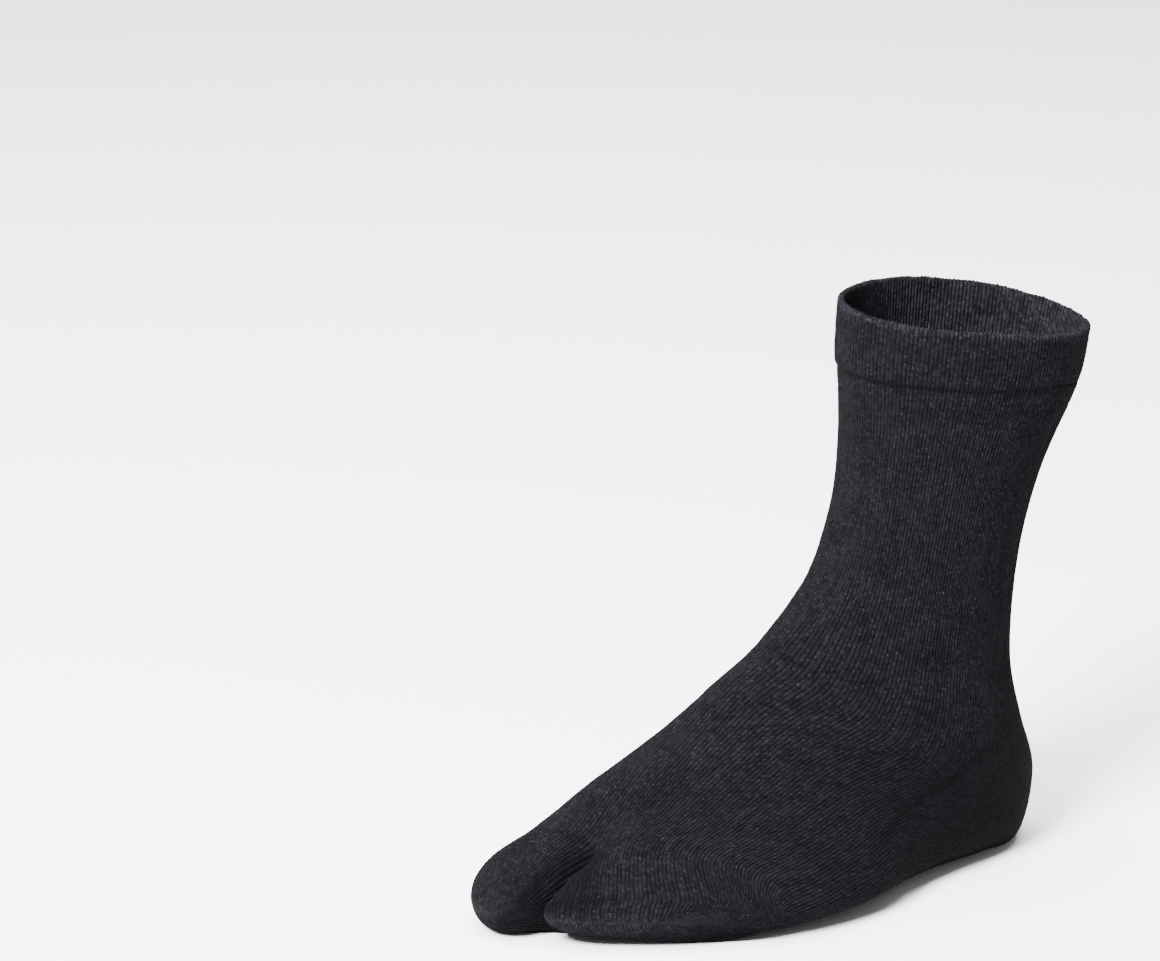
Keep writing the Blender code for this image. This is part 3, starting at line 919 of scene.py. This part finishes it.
def linked(points, loop, stitch_row, rect, inward):
    """Triangles that close a pocket's last loop from side to side, with both maps.

    Both sides of the loop run from its outer end to its inner one. The steps of both, in the order
    in which they come, each make a triangle with the point that the other side has reached.
    """
    across = points[loop, 0]
    size = len(loop)
    first = int(across.argmax())
    count = (int(across.argmin()) - first) % size
    sides = [(first + np.arange(count + 1)) % size, (first - np.arange(size - count + 1)) % size]
    keys = [-across[side[1:]] for side in sides]
    picks, levels = [], []
    for lag, tie in ((0, "left"), (1, "right")):
        side, other = sides[lag], sides[1 - lag]
        reached = np.searchsorted(keys[1 - lag], keys[lag], side=tie)
        order = [2, 1, 0] if inward != (lag == 0) else [0, 1, 2]
        picks.append(np.stack([side[:-1], side[1:], other[reached]], axis=1)[:, order])
        levels.append(np.broadcast_to(np.array([lag, lag, 1 - lag])[order], picks[-1].shape))
    picks, levels = np.concatenate(picks), np.concatenate(levels)
    whole = (picks != np.roll(picks, 1, axis=1)).all(axis=1)
    picks, levels = picks[whole], levels[whole]
    share = (across - across.min()) / (across.max() - across.min())
    stitches = np.stack([share[picks] * size / 2 / PER_WALE, np.full(picks.shape, stitch_row)], axis=-1)
    bake = np.stack([
        between(rect[0], rect[2], share[picks]), between(rect[1], rect[3], levels),
    ], axis=-1)
    return loop[picks], stitches, bake


def wall_patches(points, grids, per_wale, rects, inward):
    """The patches of one side of the wall, the tube and two pockets, and the pockets' linked ends."""
    tube_numbers, *pockets = [closed(grid) for grid in grids]
    tube_course = courses_along(points, tube_numbers)
    wale = np.broadcast_to(np.arange(tube_numbers.shape[1]) / per_wale, tube_numbers.shape)
    patches, ends = [Patch(tube_numbers, wale, tube_course, rects[0], inward)], []
    outer = OUTER_WALES * per_wale
    starts = (tube_course[-1, : outer + 1].mean(), tube_course[-1, outer:].mean())
    for numbers, start, (rect, end_rect) in zip(pockets, starts, (rects[1:3], rects[3:5])):
        wale = np.broadcast_to(np.arange(numbers.shape[1]) / per_wale, numbers.shape)
        course = courses_along(points, numbers, start)
        patches.append(Patch(numbers, wale, course, rect, inward))
        ends.append(linked(points, numbers[-1, :-1], course[-1].mean(), end_rect, inward))
    return patches, ends


lining_points = coarse - normals_of(coarse, coarse_faces) * WALL
lining_points[:, 2] = np.maximum(lining_points[:, 2], WALL)
lining_rows = np.unique(np.append(np.arange(0, TUBE_ROWS, LINING_STEP), TUBE_ROWS - 1))
lining_grids = [
    grid + len(ribbed)
    for grid in (tube_grid[lining_rows], four_grid[:LINING_POCKET_ROWS], big_grid[:LINING_POCKET_ROWS])
]
inner_edge = fine[fine_tube[0]] - fine_normals[fine_tube[0]] * WALL
edge_numbers = len(ribbed) + len(lining_points) + np.arange(len(inner_edge))
points = np.vstack([ribbed, lining_points, inner_edge])
clear = np.concatenate([ribs, np.ones(len(lining_points) + len(inner_edge))])
# Each point's painted light and shade, which the colour is multiplied by.
body_painted_shading = np.concatenate([painted_shading, np.full(len(lining_points) + len(inner_edge), INSIDE_PAINTED_LIGHT)])

fine_grids = (fine_tube, fine_four, fine_big)
outside, outside_ends = wall_patches(points, fine_grids, PER_WALE, OUTSIDE_RECTS, False)
inside, inside_ends = wall_patches(points, lining_grids, 1, LINING_RECTS, True)
rim_numbers = closed(np.stack([edge_numbers, fine_tube[0]]))
rim_wale = np.broadcast_to(np.arange(rim_numbers.shape[1]) / PER_WALE, rim_numbers.shape)
rim = Patch(rim_numbers, rim_wale, np.zeros(rim_numbers.shape), RIM_RECT, False)

fine_across, _ = laid_out(rim)
coarse_across, coarse_down = laid_out(inside[0])
top_gap = inside[0].rect[3] + RECT_GAP
bridge_numbers = bridge(rim_numbers[0], inside[0].numbers[0])
bridge_stitches = np.stack([
    bridge(rim_wale[0], inside[0].wale[0]), np.zeros(bridge_numbers.shape),
], axis=-1)
bridge_bake = np.stack([
    bridge(fine_across[0], coarse_across[0]),
    bridge(np.full(rim_numbers.shape[1], top_gap), coarse_down[0]),
], axis=-1)
extra_faces = [(bridge_numbers, bridge_stitches, bridge_bake), *outside_ends, *inside_ends]
points[inside[0].numbers[0, :-1], 2] -= LINING_TUCK
body = knitted_mesh("knitted_body", points, clear, body_painted_shading, outside + inside + [rim], extra_faces)
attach(body, "root")
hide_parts("sock_body")

# %% [markdown]
# ## The cuff's band
#
# At the top the knit is turned over and knitted down double. That makes a soft flat ring, a little
# proud of the leg, that tucks in again at its seam. It is one profile carried round the rim: up the
# outside, over a rounded edge and down the inside. The edge is a little uneven, as a stretched cuff
# is.

# %% Build the band
BAND_OUTER_ROWS = 20
BAND_RIM_ROWS = 8
BAND_INNER_ROWS = 15
BAND_BULGE = 0.0002
BAND_EDGE = 0.0012
BAND_BACK_FLUSH = 1.4
# Painted light brightens the band's rounded rim.
BAND_RIM_PAINTED_LIGHT = 2.1
BAND_EDGE_BUMP = 0.00014
BAND_TUCK = 0.0012
BAND_TUCK_SHARE = 0.13
BAND_LAST_PLACE = 1.012
BAND_RIB_RISE = 0.00018
# Rows over which the rim's painted light and the painted shade at the band's foot fade.
BAND_LIT_ROWS = (2.5, 1)
BAND_SHADED_ROWS = 2.6
WAVES = ((2, 0.00035, 0.6), (5, 0.00020, 2.1), (9, 0.00012, 4.0), (17, 0.00008, 1.2))
BAND_RECT = (0.0, 0.0, 1.0, 0.96)
BAND_FOOT_RECT = (0.0, 0.97, 1.0, 1.0)


def band_profile():
    """Places down the leg, distances out and lifts of the band's profile, from foot to foot."""
    rim_place = BAND_EDGE / BAND_HEIGHT
    share = np.linspace(1, 0, BAND_OUTER_ROWS)
    tuck = np.clip((share - 1 + BAND_TUCK_SHARE) / BAND_TUCK_SHARE, 0, 1)
    outer_out = BAND_PROUD + BAND_BULGE * np.sin(math.pi * share) - BAND_TUCK * (1 - np.sqrt(1 - tuck**2))
    turn = np.linspace(0, math.pi, BAND_RIM_ROWS)[1:-1]
    inner_share = np.linspace(0, 1, BAND_INNER_ROWS)
    inner_out = BAND_PROUD - between(2 * BAND_EDGE, BAND_THICKNESS, np.sin(math.pi / 2 * inner_share))
    place = np.concatenate([
        between(rim_place, BAND_LAST_PLACE, share),
        np.full(turn.size, rim_place),
        between(rim_place, BAND_LAST_PLACE, inner_share),
    ])
    out = np.concatenate([outer_out, BAND_PROUD - BAND_EDGE * (1 - np.cos(turn)), inner_out])
    lift = np.concatenate([np.zeros(share.size), BAND_EDGE * np.sin(turn), np.zeros(inner_share.size)])
    return place, out, lift


place, out, lift = band_profile()
flush = BAND_PROUD * np.clip(BAND_BACK_FLUSH * (1 - np.cos(around)) / 2, 0, 1)
band_rings = np.concatenate([
    rings_of(through(sections, place), WALES * PER_WALE, size) for size in (-DRAWN_IN, 0.0)
]).reshape(2, place.size, -1, 3)
share_out = (out[:, None] - flush)[:, :, None] / DRAWN_IN
band_rings = settled(band_rings[0] + (band_rings[1] - band_rings[0]) * share_out)
wave = sum(size * np.sin(count * around + phase) for count, size, phase in WAVES)
bumps = np.repeat(rng.normal(0, BAND_EDGE_BUMP, WALES), PER_WALE)
loops = bumps * (1 + rib(around * WALES / (2 * math.pi))) / 2
band_rings[:, :, 2] += lift[:, None] + (wave + loops) * np.clip(1 - place, 0, 1)[:, None] ** 2
band_rings[:, :, 2] -= wave * np.clip(place, 0, 1)[:, None] ** 4
band_numbers = closed(np.arange(band_rings[:, :, 0].size).reshape(band_rings.shape[:2]))
band_points = band_rings.reshape(-1, 3)
foot_numbers = np.stack([band_numbers[-1], band_numbers[0]])
band_wale = np.broadcast_to(np.arange(band_numbers.shape[1]) / PER_WALE, band_numbers.shape)
band_faces = np.vstack([quads(band_numbers), quads(foot_numbers)])
band_normals = normals_of(band_points, band_faces)
facing_out = np.sign((band_normals * (band_points - band_points.mean(axis=0))).sum(axis=1).mean())
band_relief = BAND_RIB_RISE * (rib(band_wale[:, :-1]) * uneven(len(place), rng)).ravel()
# Painted light on the rim and the inside, and painted shade in the lowest outer rows, where the band meets
# the leg.
row = np.arange(len(place))[:, None]
rim_painted_light = smooth(BAND_OUTER_ROWS - row, *BAND_LIT_ROWS)
band_painted_shading = 1 + groove_painted_shade * (1 - smooth(row, 0, BAND_SHADED_ROWS)) + (BAND_RIM_PAINTED_LIGHT - 1) * rim_painted_light
band_painted_shading[-BAND_INNER_ROWS:] = INSIDE_PAINTED_LIGHT
band_painted_shading = band_painted_shading.ravel()
band_points = band_points + band_normals * facing_out * band_relief[:, None]
band_patches = [
    Patch(band_numbers, band_wale, courses_along(band_points, band_numbers), BAND_RECT, facing_out < 0),
    Patch(foot_numbers, band_wale[:2], np.zeros(foot_numbers.shape), BAND_FOOT_RECT, facing_out < 0),
]
band = knitted_mesh("knitted_band", band_points, np.ones(len(band_points)), band_painted_shading, band_patches)
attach(band, "root")
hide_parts("cuff_band")

# %% [markdown]
# ## The yarn
#
# The yarn is a charcoal heather with a few paler fibres. Close up, each stitch is a small
# V, and the Vs stack into ribs with grooves between them, which are darkened with painted shade.
# The material reads the map that counts wales and courses: the fraction of each count says where in
# its stitch a point lies, and its whole part gives every stitch a shade of its own. The colour is
# also multiplied by the painted light and shade that each point carries.

# %% Make the knit material
STITCH_SLANT = 0.55
STITCH_DIP = 0.35
# Painted shade in the grooves between the ribs.
VALLEY_SHADE = 0.65
TONE_RANGE = 2.5
OWN_SHADE = 0.30
FIBRE_SHADE = 0.75
PATCHY_SHADE = 0.30
FIBRE_BUMP = 0.30
BUMP_DEPTH = 0.0004
ROUGHNESS = 0.95
SPECULAR = 0.02
SHEEN = 0.005


def knit_material(name, dark, light, speck_colour):
    """A knit that counts wales along U and courses along V."""
    bench = Bench(name)
    counts = bench.node("ShaderNodeUVMap", {"uv_map": STITCH_MAP})
    wale = bench.node("ShaderNodeSeparateXYZ", (), {0: counts}, 0)
    course = bench.node("ShaderNodeSeparateXYZ", (), {0: counts}, 1)
    ribs_clear = bench.node("ShaderNodeAttribute", {"attribute_name": RIB_LAYER}, (), 2)
    painted_shading = bench.node("ShaderNodeAttribute", {"attribute_name": PAINTED_SHADING_LAYER}, (), 2)
    away = abs(bench.maths("FRACT", wale) - 0.5) * 2
    ridge = 1 - away**RIB_POWER
    slanted = course + away * STITCH_SLANT
    stitch = bench.maths("SINE", bench.maths("FRACT", slanted) * math.pi)
    height = ridge * ribs_clear * (1 - STITCH_DIP + STITCH_DIP * stitch)
    whole = bench.vector(bench.maths("FLOOR", wale), bench.maths("FLOOR", slanted))
    own_shade = bench.node("ShaderNodeTexWhiteNoise", {"noise_dimensions": "2D"}, {"Vector": whole})
    dashes = bench.node(
        "ShaderNodeTexNoise", {"noise_dimensions": "2D"},
        {"Vector": bench.vector(wale + 0.5, course * 0.22), "Scale": 1.0, "Detail": 2.0},
    )
    fibres = bench.node(
        "ShaderNodeTexNoise", {"noise_dimensions": "2D"},
        {"Vector": bench.vector(wale * 2.3, course * 1.1), "Scale": 1.0, "Detail": 3.0, "Roughness": 0.65},
    )
    patchy = bench.node(
        "ShaderNodeTexNoise", {"noise_dimensions": "2D"},
        {"Vector": bench.vector(wale, course), "Scale": 0.10, "Detail": 3.0, "Roughness": 0.55},
    )
    # Painted shade darkens the grooves between the ribs in broken dashes, and keeps the pale specks out of
    # them.
    groove = (1 - bench.step(height, 0.05, 0.75)) * ribs_clear
    painted_valley_shade = 1 - VALLEY_SHADE * groove * bench.step(dashes, 0.30, 0.62)
    shade = (OWN_SHADE * own_shade + FIBRE_SHADE * fibres + PATCHY_SHADE * (patchy - 0.5)) * painted_valley_shade
    speck = bench.step(fibres, 0.60, 0.72) * bench.step(own_shade, 0.5, 0.9) * painted_valley_shade
    # The colour is scaled by the point's painted light and shade.
    colour = bench.colours(bench.step(shade, 0.05, 0.95) * painted_shading / TONE_RANGE, dark, light)
    speckled = bench.colours(speck * painted_shading / TONE_RANGE, colour, speck_colour)
    bench.set(bench.shader.inputs["Base Color"], speckled)
    bench.set(bench.shader.inputs["Roughness"], ROUGHNESS)
    bench.set(bench.shader.inputs["Specular IOR Level"], SPECULAR)
    bench.set(bench.shader.inputs["Sheen Weight"], SHEEN)
    bench.set(bench.shader.inputs["Sheen Roughness"], 0.6)
    relief = height + fibres * FIBRE_BUMP
    bump = bench.node(
        "ShaderNodeBump", (), {"Strength": 0.6, "Distance": BUMP_DEPTH, "Height": relief},
    )
    bench.set(bench.shader.inputs["Normal"], bump)
    return bench.material


KNIT_DARK = (0.0008, 0.0008, 0.0012, 1)
KNIT_LIGHT = (0.0142, 0.0131, 0.0168, 1)
KNIT_SPECK = (0.036, 0.035, 0.043, 1)
body.data.materials.append(knit_material("knit", KNIT_DARK, KNIT_LIGHT, KNIT_SPECK))
band.data.materials.append(knit_material("band_knit", KNIT_DARK, KNIT_LIGHT, KNIT_SPECK))
